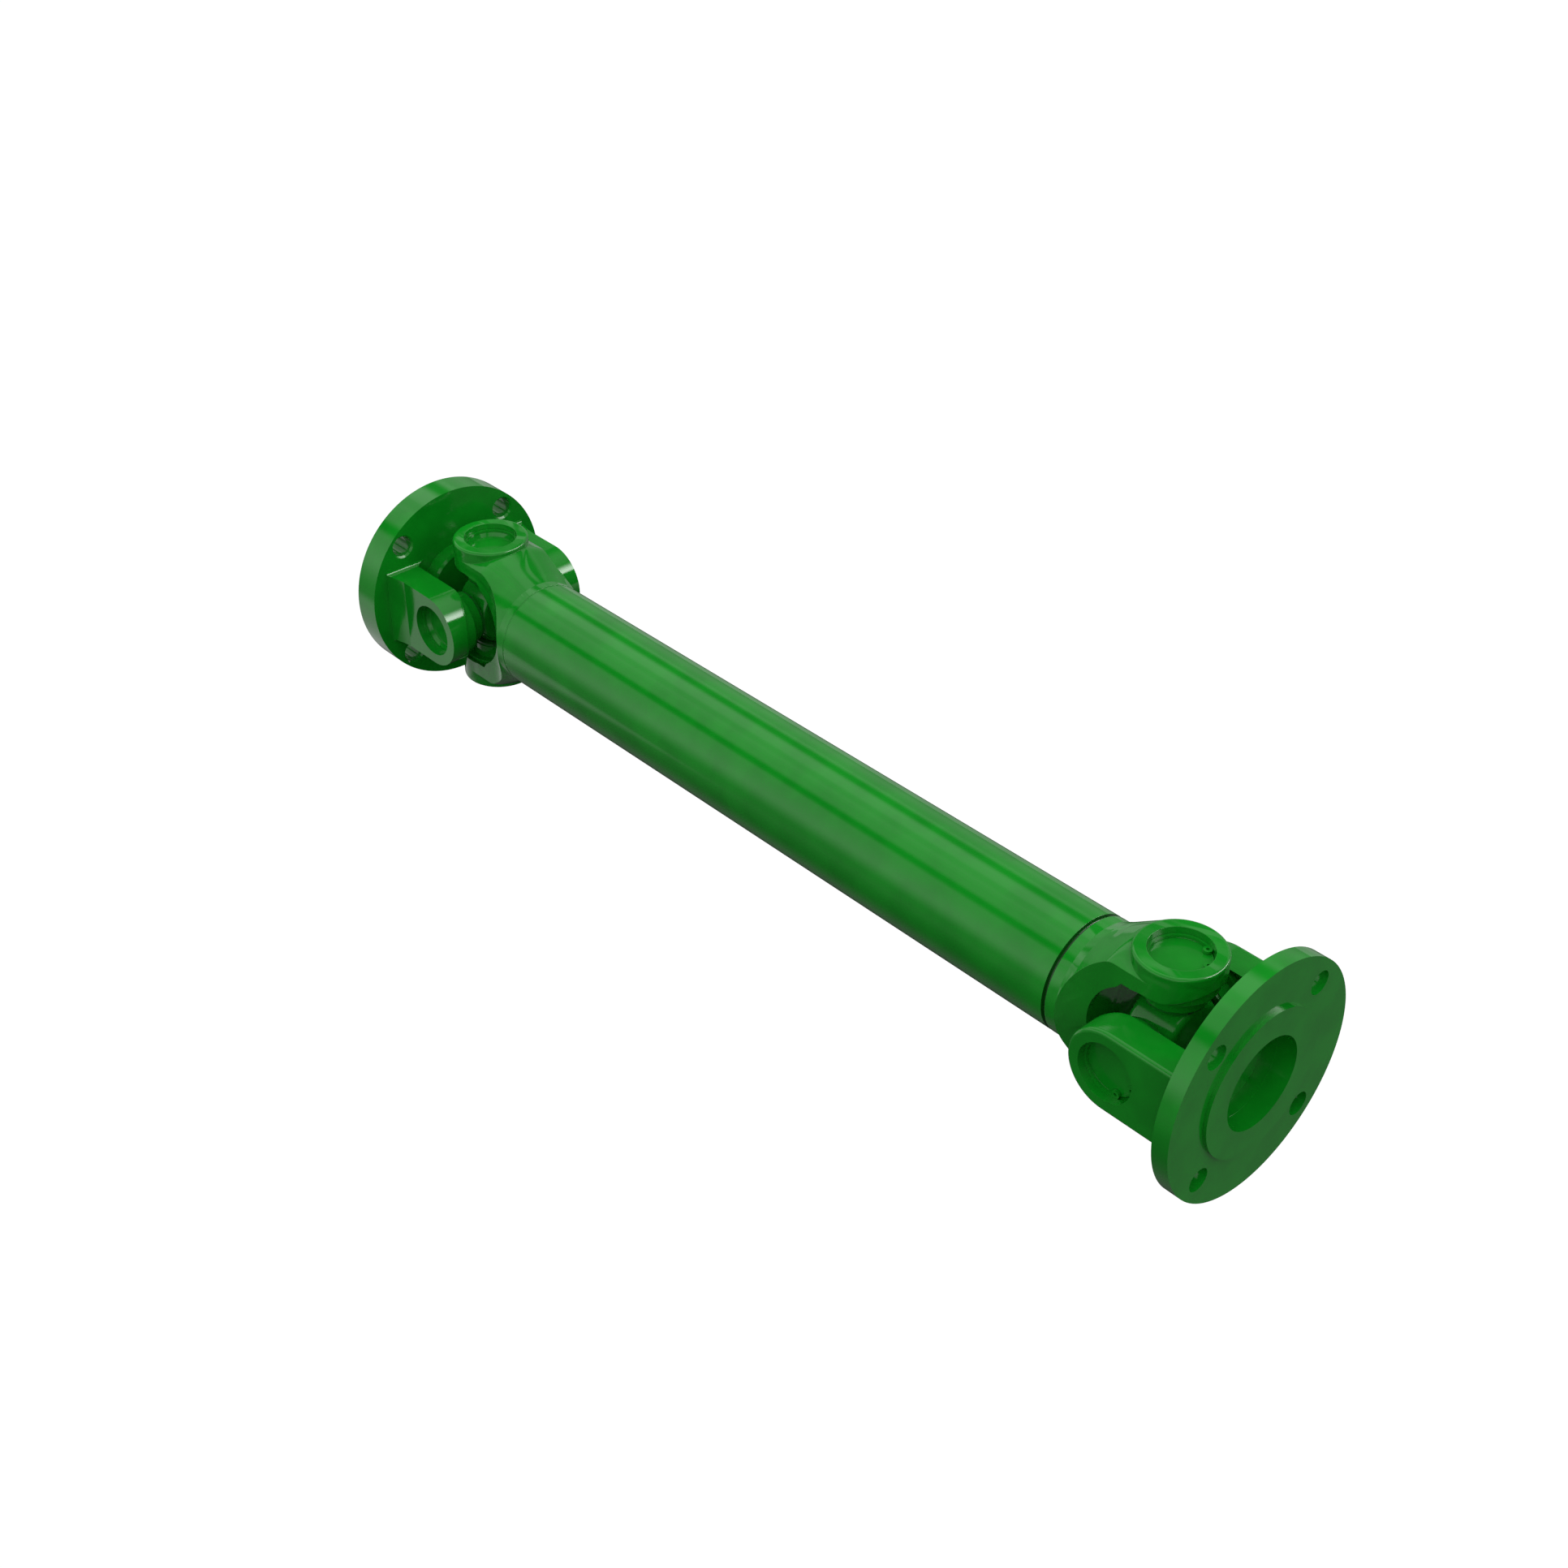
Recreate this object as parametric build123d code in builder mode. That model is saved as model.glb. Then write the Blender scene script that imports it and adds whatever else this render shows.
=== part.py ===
import os
from math import asin, cos, hypot, pi, radians, sin

from build123d import *

os.makedirs("parts", exist_ok=True)

# Overall layout, in millimetres: +X runs along the shaft to the flange with the raised pilot
joint_span = 400.0  # between the centres of the two universal joints
near_face_distance = 38.5  # joint centre to the near flange's bolting face
far_face_distance = 43.0  # joint centre to the far flange's bolting face
pilot_height = 1.5

# Tube and the welds at its two ends
tube_diameter = 48.3
tube_wall = 3.0
near_weld_gap = 1.8  # open groove between the tube's end and the yoke's shoulder
far_weld_gap = 0.6
near_weld_depth = 1.3  # how far the weld's surface lies below the tube's surface
far_weld_depth = 0.3

# Tube yoke forging
shoulder_distance = 38.0  # joint centre to the shoulder that the tube is welded against
collar_length = 4.5
spigot_length = 16.0  # turned neck inside the tube
spigot_clearance = 0.05
spigot_wall = 5.0
bell_radius = 33.7  # turned outside of the two arms
bell_length = 17.0  # straight part of it, from the joint centre towards the tube
bell_root_radius = 26.2  # where the bell's slope runs into the collar
tube_ear_radius = 17.1
tube_ear_height = 35.5  # joint axis to the ear's machined face
ear_edge_radius = 1.2
bell_crest_radius = 8.0  # rounding where the bell's slope begins
bell_foot_radius = 4.0  # hollow where the slope runs into the collar
side_blend_start = 20.0  # where the arms begin to widen towards the collar
fork_gap_radius = 23.2  # round bottom of the fork, seen from the side
fork_gap_shift = 0.8
fork_bore_length = 11.0  # joint centre to where the turned inside of the fork begins to close

# Near flange yoke, with a raised pilot and a deep recess in its middle
near_flange_diameter = 97.0
near_flange_thickness = 7.0
pilot_diameter = 60.3
near_recess_diameter = 38.0
near_recess_depth = 13.5  # from the pilot's face to the recess's floor
near_hub_diameter = 44.0  # hub that holds the recess, on the side of the ears
near_hub_length = 9.2
near_hub_end_diameter = 32.0
near_hub_taper = 3.2  # length of the cone at the hub's end
# Far flange yoke, with a thicker flange and a flare behind its ears
far_flange_step = 3.5  # how much smaller it is than the near flange, over its diameter
far_flange_thickness = 13.0
far_pilot_depth = 2.0
far_hub_diameter = 39.5
far_hub_length = 7.5
far_hub_chamfer = 1.0
flare_rise = 2.4  # how far the ears' flats swell out where they meet the flange
flare_start = 19.5  # joint centre to where the flare leaves the ear's flat
flare_radius = 45.0
far_ear_radius = 16.9
far_ear_foot_radius = 1.5  # hollow where the ears' flat sides meet the flange
far_blank_margin = 3.0  # how far the forging's blank reaches past the ears' feet before it is turned
far_hole_chamfer = 0.8  # on the bolt holes, on the side of the ears
# Both flange yokes
bolt_hole_diameter = 9.7
bolt_hole_rim = 3.95  # metal left between a bolt hole and the near flange's edge
bolt_count = 4
flange_ear_radius = 17.2
flange_ear_height = 36.0  # joint axis to the ear's machined face
flange_ear_round = 1.6  # rolled outer edge of the near ears
root_radius = 4.0  # where the ears' inner faces meet the flange
# All four yokes
fork_bore_radius = 28.2  # turned inside of the ears, about the shaft's axis
inner_boss_radius = 15.2  # raised ring round the bearing bore, inside each ear
inner_boss_height = 22.3  # joint axis to the ring's face

# Cross and bearing
cross_length = 63.0  # over the closed ends of two opposite cups
cup_diameter = 24.0
cup_wall = 2.0
cup_length = 15.0
cup_floor_depth = 3.6  # from the cup's outer end to its floor inside
near_dish_depth = 0.2  # shallow turned recess in the closed end of the near joint's cups
far_dish_depth = 1.8
dish_land = 0.3  # flat rim left round it
cup_chamfer = 0.6
needle_diameter = 2.4
needle_length = 9.8
needle_play = 0.03  # running clearance over and under the needles
end_play = 0.05
hub_arm_diameter = 19.4  # forged root of each arm
hub_shoulder_diameter = 18.0
hub_arm_length = 14.5  # centre of the cross to the shoulder of each trunnion
hub_body_diameter = 30.0
hub_body_width = 20.0
hub_edge_radius = 2.5
grease_hole_diameter = 3.0
trunnion_chamfer = 0.8

# Snap rings in the ears' bores
ring_thickness = 1.2
ring_groove_depth = 0.7
ring_groove_clearance = 0.05
ring_width = 1.7
ring_gap = 50.0  # opening between the two lugs, in degrees
ring_lug_radius = 1.7
ring_lug_hole = 1.3
near_ring_turns = {"z": 40.0, "y": -47.0}  # where each ring's opening points, in degrees
far_ring_turns = {"z": -42.0, "y": 43.0}

# Seal in each cup's mouth
seal_lip_clearance = 0.06
seal_flange_diameter = 23.0
seal_flange_thickness = 1.4
seal_plug_depth = 1.4
seal_plug_clearance = 0.05
seal_groove_width = 1.5
seal_groove_depth = 0.6

# Grease nipple in each cross
nipple_thread_diameter = 6.0
nipple_thread_length = 5.0
nipple_hex = 7.0
nipple_hex_length = 3.0
nipple_neck_diameter = 4.2
nipple_head_diameter = 6.2
nipple_length = 12.5  # over all, from the foot of the hexagon
nipple_seat = 12.0  # centre of the cross to the nipple's seat

# Places along the shaft, worked out from the sizes above
overall_length = joint_span + near_face_distance + far_face_distance + pilot_height
near_joint = overall_length / 2 - pilot_height - near_face_distance
far_joint = near_joint - joint_span
tube_radius = tube_diameter / 2
tube_bore_radius = tube_radius - tube_wall
near_tube_end = near_joint - shoulder_distance - near_weld_gap
far_tube_end = far_joint + shoulder_distance + far_weld_gap
bolt_circle = near_flange_diameter - bolt_hole_diameter - 2 * bolt_hole_rim
far_flange_diameter = near_flange_diameter - far_flange_step
near_inner_face = near_face_distance - near_flange_thickness
far_inner_face = far_face_distance - far_flange_thickness
cup_radius = cup_diameter / 2
race_radius = cup_radius - cup_wall
cup_end = cross_length / 2
cup_mouth = cup_end - cup_length
cup_floor_inside = cup_end - cup_floor_depth
needle_radius = needle_diameter / 2
needle_circle = race_radius - needle_play - needle_radius
trunnion_radius = needle_circle - needle_radius - needle_play
trunnion_end = cup_floor_inside - end_play
needle_count = int(pi / asin(needle_radius / needle_circle))
ring_seat_radius = cup_radius + ring_groove_depth
spigot_radius = tube_bore_radius - spigot_clearance

# Towards the flange at each end, along X
NEAR, FAR = 1, -1


def side_plane(joint_x, towards):
    """The upright plane along the shaft; its x runs from the joint towards the flange and its y upwards."""
    return Plane(origin=(joint_x, 0, 0), x_dir=(towards, 0, 0), z_dir=(0, -towards, 0))


def top_plane(joint_x, towards):
    """The level plane along the shaft; its x runs from the joint towards the flange."""
    return Plane(origin=(joint_x, 0, 0), x_dir=(towards, 0, 0), z_dir=(0, 0, 1))


def cross_plane(joint_x, towards, distance):
    """The plane across the shaft, a distance from the joint centre towards the flange."""
    return Plane(origin=(joint_x + towards * distance, 0, 0), x_dir=(0, towards, 0), z_dir=(towards, 0, 0))


def pin_plane(joint_x, pin, out):
    """The plane across one trunnion of a cross, its normal running out along the pin."""
    direction = (0, 0, out) if pin == "z" else (0, out, 0)
    return Plane(origin=(joint_x, 0, 0), x_dir=(1, 0, 0), z_dir=direction)


def radial_plane(joint_x, pin, out):
    """The plane that holds one trunnion's axis; its y runs out along the pin, for turned profiles."""
    if pin == "z":
        return Plane(origin=(joint_x, 0, 0), x_dir=(1, 0, 0), z_dir=(0, -out, 0))
    return Plane(origin=(joint_x, 0, 0), x_dir=(1, 0, 0), z_dir=(0, 0, out))


def pin_axis(joint_x, pin):
    """The line of one pair of trunnions."""
    return Axis((joint_x, 0, 0), (0, 0, 1) if pin == "z" else (0, 1, 0))


def save(piece, name):
    """Label one finished piece and write it."""
    piece.part.label = name
    export_step(piece.part, f"parts/{name}.step")


# The plain welded tube
with BuildPart() as centre_tube:
    with BuildSketch(Plane(origin=(far_tube_end, 0, 0), x_dir=(0, 1, 0), z_dir=(1, 0, 0))):
        Circle(tube_radius)
        Circle(tube_bore_radius, mode=Mode.SUBTRACT)
    extrude(amount=near_tube_end - far_tube_end)
save(centre_tube, "centre_tube")


def weld_ring(name, joint_x, towards, gap, depth):
    """The weld that fills the bottom of the groove between tube and yoke."""
    with BuildPart() as weld:
        with BuildSketch(cross_plane(joint_x, towards, -shoulder_distance - gap)):
            Circle(tube_radius - depth)
            Circle(spigot_radius, mode=Mode.SUBTRACT)
        extrude(amount=gap)
    save(weld, name)


def tube_yoke(name, joint_x, towards):
    """A forged tube yoke: a turned bell and neck, cut to two arms with round bearing ears."""
    collar_end = shoulder_distance - collar_length
    neck_end = shoulder_distance + spigot_length
    hollow_radius = spigot_radius - spigot_wall
    blend_length = collar_end - side_blend_start
    blend_rise = tube_radius - tube_ear_radius
    blend_radius = (blend_length**2 + blend_rise**2) / (2 * blend_rise)
    blend_turn = asin(blend_length / blend_radius) / 2
    blend_middle = (
        -side_blend_start - blend_radius * sin(blend_turn),
        tube_ear_radius + blend_radius * (1 - cos(blend_turn)),
    )
    with BuildPart() as yoke:
        with BuildSketch(side_plane(joint_x, towards)) as section:
            with BuildLine():
                Polyline(
                    (tube_ear_radius, 0),
                    (tube_ear_radius, bell_radius),
                    (-bell_length, bell_radius),
                    (-collar_end + bell_foot_radius, bell_root_radius),
                    (-collar_end, tube_radius),
                    (-shoulder_distance, tube_radius),
                    (-shoulder_distance, spigot_radius),
                    (-neck_end, spigot_radius),
                    (-neck_end, hollow_radius),
                    (-shoulder_distance, hollow_radius),
                    (-shoulder_distance + hollow_radius / 2, 0),
                    close=True,
                )
            make_face()
            crest = section.vertices().filter_by(lambda corner: abs(corner.X + bell_length) < 0.01)
            foot = section.vertices().filter_by(lambda corner: abs(corner.Y - bell_root_radius) < 0.01)
            fillet(crest, bell_crest_radius)
            fillet(foot, bell_foot_radius)
        revolve(axis=Axis((joint_x, 0, 0), (1, 0, 0)))
        with BuildSketch(top_plane(joint_x, towards)):
            with BuildLine():
                Line((0, tube_ear_radius), (-side_blend_start, tube_ear_radius))
                ThreePointArc((-side_blend_start, tube_ear_radius), blend_middle, (-collar_end, tube_radius))
                Line((-collar_end, tube_radius), (-neck_end, tube_radius))
                Line((-neck_end, tube_radius), (-neck_end, 0))
                Line((-neck_end, 0), (tube_ear_radius, 0))
                RadiusArc((0, tube_ear_radius), (tube_ear_radius, 0), tube_ear_radius)
            make_face()
            mirror(about=Plane.XZ)
        extrude(amount=bell_radius + 1, both=True, mode=Mode.INTERSECT)
        with BuildSketch(top_plane(joint_x, towards)):
            Circle(tube_ear_radius)
        extrude(amount=tube_ear_height, both=True)
        with BuildSketch(side_plane(joint_x, towards)):
            with Locations((-fork_gap_shift, 0)):
                Circle(fork_gap_radius)
            with Locations((-fork_gap_shift + tube_ear_radius, 0)):
                Rectangle(2 * tube_ear_radius, 2 * fork_gap_radius)
            with Locations((tube_ear_radius, 0)):
                Rectangle(tube_ear_radius, 2 * fork_gap_radius)
        extrude(amount=tube_radius + 1, both=True, mode=Mode.SUBTRACT)
        tube_fork_turning(joint_x, towards)
        faces_out = yoke.faces().filter_by(Axis.Z).group_by(Axis.Z)
        fillet(faces_out[-1].edges() + faces_out[0].edges(), ear_edge_radius)
        ear_bores(joint_x, "z", tube_ear_height)
    save(yoke, name)


def tube_fork_turning(joint_x, towards):
    """Turn the inside of a tube yoke's fork about the shaft's axis, closing to a slope at its bottom."""
    mouth = 2 * tube_ear_radius
    bottom = fork_gap_radius + fork_gap_shift
    with BuildSketch(side_plane(joint_x, -towards)) as section:
        with BuildLine():
            Polyline(
                (-mouth, 0),
                (-mouth, fork_bore_radius),
                (fork_bore_length, fork_bore_radius),
                (bottom, fork_bore_radius - (bottom - fork_bore_length)),
                (bottom, 0),
                close=True,
            )
        make_face()
    revolve(section.sketch, axis=Axis((joint_x, 0, 0), (1, 0, 0)), mode=Mode.SUBTRACT)
    inner_bosses(joint_x, "z")


def inner_bosses(joint_x, pin):
    """Raise a flat ring round the bearing bore inside each ear of the yoke being built."""
    for out in (1, -1):
        with BuildSketch(pin_plane(joint_x, pin, out).offset(inner_boss_height)) as ring:
            Circle(inner_boss_radius)
        extrude(ring.sketch, amount=fork_bore_radius - inner_boss_height + 1)


def ear_bores(joint_x, pin, height):
    """Cut the bearing bore and the snap-ring groove through both ears, inside the yoke being built."""
    with BuildSketch(pin_plane(joint_x, pin, 1)) as bore:
        Circle(cup_radius)
    extrude(bore.sketch, amount=height + 1, both=True, mode=Mode.SUBTRACT)
    for out in (1, -1):
        with BuildSketch(pin_plane(joint_x, pin, out).offset(cup_end)) as groove:
            Circle(ring_seat_radius)
        extrude(groove.sketch, amount=ring_thickness, mode=Mode.SUBTRACT)


def flange_fork_turning(joint_x, towards, inner_face):
    """Turn the inside of a flange yoke's ears down to the flange, with a hollow root."""
    mouth = -2 * flange_ear_radius
    with BuildSketch(side_plane(joint_x, towards)) as section:
        with BuildLine():
            Polyline(
                (mouth, 0), (mouth, fork_bore_radius), (inner_face, fork_bore_radius), (inner_face, 0), close=True
            )
        make_face()
        root = section.vertices().filter_by(
            lambda corner: abs(corner.X - inner_face) < 0.01 and corner.Y > fork_bore_radius - 0.01
        )
        fillet(root, root_radius)
    revolve(section.sketch, axis=Axis((joint_x, 0, 0), (1, 0, 0)), mode=Mode.SUBTRACT)
    inner_bosses(joint_x, "y")


with BuildPart() as near_flange_yoke:
    with BuildSketch(side_plane(near_joint, NEAR)):
        Circle(flange_ear_radius)
        with Locations((near_inner_face / 2, 0)):
            Rectangle(near_inner_face, 2 * flange_ear_radius)
    extrude(amount=flange_ear_height, both=True)
    flats = near_flange_yoke.faces().filter_by(Axis.Y)
    rolled = flats.edges().filter_by(lambda edge: edge.center().X < near_joint + near_inner_face - 1)
    fillet(rolled, flange_ear_round)
    with BuildSketch(cross_plane(near_joint, NEAR, near_inner_face)):
        Circle(near_flange_diameter / 2)
    extrude(amount=near_flange_thickness)
    with BuildSketch(cross_plane(near_joint, NEAR, near_face_distance)):
        Circle(pilot_diameter / 2)
    extrude(amount=pilot_height)
    flange_fork_turning(near_joint, NEAR, near_inner_face)
    with BuildSketch(side_plane(near_joint, NEAR)) as hub_section:
        with BuildLine():
            Polyline(
                (near_inner_face, 0),
                (near_inner_face, near_hub_diameter / 2),
                (near_inner_face - near_hub_length + near_hub_taper, near_hub_diameter / 2),
                (near_inner_face - near_hub_length, near_hub_end_diameter / 2),
                (near_inner_face - near_hub_length, 0),
                close=True,
            )
        make_face()
    revolve(hub_section.sketch, axis=Axis((near_joint, 0, 0), (1, 0, 0)))
    with BuildSketch(cross_plane(near_joint, NEAR, near_face_distance + pilot_height)):
        Circle(near_recess_diameter / 2)
    extrude(amount=-near_recess_depth, mode=Mode.SUBTRACT)
    with BuildSketch(cross_plane(near_joint, NEAR, near_face_distance)):
        with PolarLocations(bolt_circle / 2, bolt_count, start_angle=45):
            Circle(bolt_hole_diameter / 2)
    extrude(amount=-near_flange_thickness, mode=Mode.SUBTRACT)
    ear_bores(near_joint, "y", flange_ear_height)
save(near_flange_yoke, "near_flange_yoke")

flare_foot = (far_inner_face, flange_ear_height + flare_rise)
far_blank_radius = hypot(flange_ear_height + flare_rise, far_ear_radius) + far_blank_margin

with BuildPart() as far_flange_yoke:
    with BuildSketch(top_plane(far_joint, FAR)):
        with BuildLine():
            Line((flare_start, 0), (flare_start, flange_ear_height))
            RadiusArc((flare_start, flange_ear_height), flare_foot, -flare_radius)
            Line(flare_foot, (far_inner_face, 0))
            Line((far_inner_face, 0), (flare_start, 0))
        make_face()
        mirror(about=Plane.XZ)
    extrude(amount=far_ear_radius, both=True)
    with BuildSketch(side_plane(far_joint, FAR)):
        Circle(far_ear_radius)
        with Locations((far_inner_face / 2, 0)):
            Rectangle(far_inner_face, 2 * far_ear_radius)
    extrude(amount=flange_ear_height, both=True)
    with BuildSketch(cross_plane(far_joint, FAR, far_inner_face)):
        Circle(far_blank_radius)
        Circle(far_flange_diameter / 2)
    extrude(amount=far_flange_thickness)
    feet = far_flange_yoke.edges().filter_by(Axis.Y).filter_by(
        lambda edge: abs(edge.center().X - far_joint + far_inner_face) < 0.01
        and abs(abs(edge.center().Z) - far_ear_radius) < 0.01
    )
    fillet(feet, far_ear_foot_radius)
    with BuildSketch(cross_plane(far_joint, FAR, far_face_distance)):
        Circle(far_flange_diameter / 2)
    extrude(amount=-far_face_distance - far_ear_radius, mode=Mode.INTERSECT)
    flange_fork_turning(far_joint, FAR, far_inner_face)
    with BuildSketch(cross_plane(far_joint, FAR, far_inner_face)):
        Circle(far_hub_diameter / 2)
    extrude(amount=-far_hub_length)
    hub_rim = far_flange_yoke.edges().filter_by(GeomType.CIRCLE).filter_by(
        lambda edge: abs(edge.radius - far_hub_diameter / 2) < 0.01
        and abs(edge.center().X - far_joint + far_inner_face - far_hub_length) < 0.01
    )
    chamfer(hub_rim, far_hub_chamfer)
    with BuildSketch(cross_plane(far_joint, FAR, far_face_distance)):
        Circle(pilot_diameter / 2)
    extrude(amount=-far_pilot_depth, mode=Mode.SUBTRACT)
    with BuildSketch(cross_plane(far_joint, FAR, far_face_distance)):
        with PolarLocations(bolt_circle / 2, bolt_count, start_angle=45):
            Circle(bolt_hole_diameter / 2)
    extrude(amount=-far_flange_thickness, mode=Mode.SUBTRACT)
    with BuildSketch(cross_plane(far_joint, FAR, far_inner_face)):
        with PolarLocations(bolt_circle / 2, bolt_count, start_angle=45):
            Circle(bolt_hole_diameter / 2 + far_hole_chamfer)
    extrude(amount=far_hole_chamfer, taper=45, mode=Mode.SUBTRACT)
    ear_bores(far_joint, "y", flange_ear_height)
save(far_flange_yoke, "far_flange_yoke")


def cross(name, joint_x):
    """The forged cross: a round hub with four shouldered trunnions, drilled for grease."""
    with BuildPart() as spider:
        with BuildSketch(Plane(origin=(joint_x, 0, 0), x_dir=(0, 1, 0), z_dir=(1, 0, 0))):
            Circle(hub_body_diameter / 2)
        extrude(amount=hub_body_width / 2, both=True)
        fillet(spider.edges().filter_by(GeomType.CIRCLE), hub_edge_radius)
        for pin in ("z", "y"):
            for out in (1, -1):
                with BuildSketch(radial_plane(joint_x, pin, out)):
                    with BuildLine():
                        Polyline(
                            (0, 0),
                            (hub_arm_diameter / 2, 0),
                            (hub_shoulder_diameter / 2, hub_arm_length),
                            (trunnion_radius, hub_arm_length),
                            (trunnion_radius, trunnion_end - trunnion_chamfer),
                            (trunnion_radius - trunnion_chamfer, trunnion_end),
                            (0, trunnion_end),
                            close=True,
                        )
                    make_face()
                revolve(axis=pin_axis(joint_x, pin))
        for pin in ("z", "y"):
            with BuildSketch(pin_plane(joint_x, pin, 1)):
                Circle(grease_hole_diameter / 2)
            extrude(amount=trunnion_end, both=True, mode=Mode.SUBTRACT)
        with BuildSketch(nipple_plane(joint_x)):
            Circle(nipple_thread_diameter / 2)
        extrude(amount=-nipple_thread_length, mode=Mode.SUBTRACT)
        with BuildSketch(nipple_plane(joint_x)):
            Circle(grease_hole_diameter / 2)
        extrude(amount=-nipple_seat, mode=Mode.SUBTRACT)
        with BuildSketch(nipple_plane(joint_x)):
            Circle(nipple_hex)
        extrude(amount=hub_body_diameter, mode=Mode.SUBTRACT)
    save(spider, name)


def nipple_plane(joint_x):
    """The nipple's seat, in the corner between two trunnions at the back and below."""
    reach = nipple_seat * sin(pi / 4)
    return Plane(origin=(joint_x, reach, -reach), x_dir=(1, 0, 0), z_dir=(0, 1, -1))


def grease_nipple(name, joint_x):
    """A plain hydraulic grease nipple: thread, hexagon, waisted neck and rounded head."""
    seat = nipple_plane(joint_x)
    half_section = Plane(origin=seat.origin, x_dir=seat.x_dir, z_dir=-seat.y_dir)
    neck = nipple_neck_diameter / 2
    head = nipple_head_diameter / 2
    head_foot = nipple_length - 2 * head
    with BuildPart() as nipple:
        with BuildSketch(seat):
            RegularPolygon(nipple_hex / 2, 6, major_radius=False)
        extrude(amount=nipple_hex_length)
        with BuildSketch(half_section):
            with BuildLine():
                Polyline(
                    (0, nipple_length),
                    (0, -nipple_thread_length),
                    (nipple_thread_diameter / 2, -nipple_thread_length),
                    (nipple_thread_diameter / 2, 0),
                    (neck, 0),
                    (neck, head_foot),
                    (head, head_foot + head / 2),
                    (head, nipple_length - head / 2),
                    (head / 2, nipple_length),
                    close=True,
                )
            make_face()
        revolve(axis=Axis(seat.origin, seat.z_dir))
    save(nipple, name)


def bearing_cup(name, joint_x, pin, out, dish_depth):
    """A drawn bearing cup, closed and dished at its outer end."""
    dish_radius = cup_radius - dish_land - cup_chamfer
    with BuildPart() as cup:
        with BuildSketch(radial_plane(joint_x, pin, out)):
            with BuildLine():
                Polyline(
                    (0, cup_floor_inside),
                    (race_radius, cup_floor_inside),
                    (race_radius, cup_mouth),
                    (cup_radius, cup_mouth),
                    (cup_radius, cup_end - cup_chamfer),
                    (cup_radius - cup_chamfer, cup_end),
                    (dish_radius, cup_end),
                    (dish_radius - dish_depth / 2, cup_end - dish_depth),
                    (0, cup_end - dish_depth),
                    close=True,
                )
            make_face()
        revolve(axis=pin_axis(joint_x, pin))
    save(cup, name)


def needle_set(name, joint_x, pin, out):
    """A full set of loose needles between trunnion and cup."""
    with BuildPart() as needles:
        with BuildSketch(pin_plane(joint_x, pin, out).offset(cup_floor_inside - end_play - needle_length)):
            with PolarLocations(needle_circle, needle_count):
                Circle(needle_radius)
        extrude(amount=needle_length)
    save(needles, name)


def snap_ring(name, joint_x, pin, out, turn):
    """An internal snap ring with two drilled lugs, sprung into the ear's groove."""
    outer = ring_seat_radius - ring_groove_clearance
    inner = outer - ring_width
    lug_circle = inner - ring_lug_radius / 3
    ends = [radians(turn + side * ring_gap / 2) for side in (1, -1)]
    with BuildPart() as ring:
        with BuildSketch(pin_plane(joint_x, pin, out).offset(cup_end)):
            Circle(outer)
            Circle(inner, mode=Mode.SUBTRACT)
            with BuildLine():
                corners = [(cup_diameter * cos(angle), cup_diameter * sin(angle)) for angle in ends]
                Polyline((0, 0), *corners, close=True)
            make_face(mode=Mode.SUBTRACT)
            lugs = [(lug_circle * cos(angle), lug_circle * sin(angle)) for angle in ends]
            with Locations(*lugs):
                Circle(ring_lug_radius)
            with Locations(*lugs):
                Circle(ring_lug_hole / 2, mode=Mode.SUBTRACT)
        extrude(amount=ring_thickness)
    save(ring, name)


def seal(name, joint_x, pin, out):
    """The rubber seal in the cup's mouth: a plug, a flange over the mouth and a lip on the trunnion."""
    lip_radius = trunnion_radius + seal_lip_clearance
    plug_radius = race_radius - seal_plug_clearance
    foot = cup_mouth - seal_flange_thickness
    groove_low = foot + (seal_flange_thickness + seal_plug_depth - seal_groove_width) / 2
    with BuildPart() as ring:
        with BuildSketch(radial_plane(joint_x, pin, out)):
            with BuildLine():
                Polyline(
                    (lip_radius, foot),
                    (seal_flange_diameter / 2, foot),
                    (seal_flange_diameter / 2, cup_mouth),
                    (plug_radius, cup_mouth),
                    (plug_radius, cup_mouth + seal_plug_depth),
                    (lip_radius, cup_mouth + seal_plug_depth),
                    (lip_radius, groove_low + seal_groove_width),
                    (lip_radius + seal_groove_depth, groove_low + seal_groove_width),
                    (lip_radius + seal_groove_depth, groove_low),
                    (lip_radius, groove_low),
                    close=True,
                )
            make_face()
        revolve(axis=pin_axis(joint_x, pin))
    save(ring, name)


for end, joint_x, towards, gap, depth, turns, dish in (
    ("near", near_joint, NEAR, near_weld_gap, near_weld_depth, near_ring_turns, near_dish_depth),
    ("far", far_joint, FAR, far_weld_gap, far_weld_depth, far_ring_turns, far_dish_depth),
):
    weld_ring(f"{end}_weld", joint_x, towards, gap, depth)
    tube_yoke(f"{end}_tube_yoke", joint_x, towards)
    cross(f"{end}_cross", joint_x)
    grease_nipple(f"{end}_grease_nipple", joint_x)
    for place, pin, out in (("top", "z", 1), ("bottom", "z", -1), ("front", "y", -1), ("back", "y", 1)):
        bearing_cup(f"{end}_{place}_cup", joint_x, pin, out, dish)
        needle_set(f"{end}_{place}_needles", joint_x, pin, out)
        snap_ring(f"{end}_{place}_snap_ring", joint_x, pin, out, turns[pin])
        seal(f"{end}_{place}_seal", joint_x, pin, out)
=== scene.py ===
"""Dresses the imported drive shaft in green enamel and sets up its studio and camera.

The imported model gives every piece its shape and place. This script lays the two weld beads, closes the
hub behind the near flange's recess, gives each piece its finish, and lights the shaft from a pale studio
with the camera where the photograph was taken.
"""

import logging
import math
from dataclasses import dataclass
from enum import Enum

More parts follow.
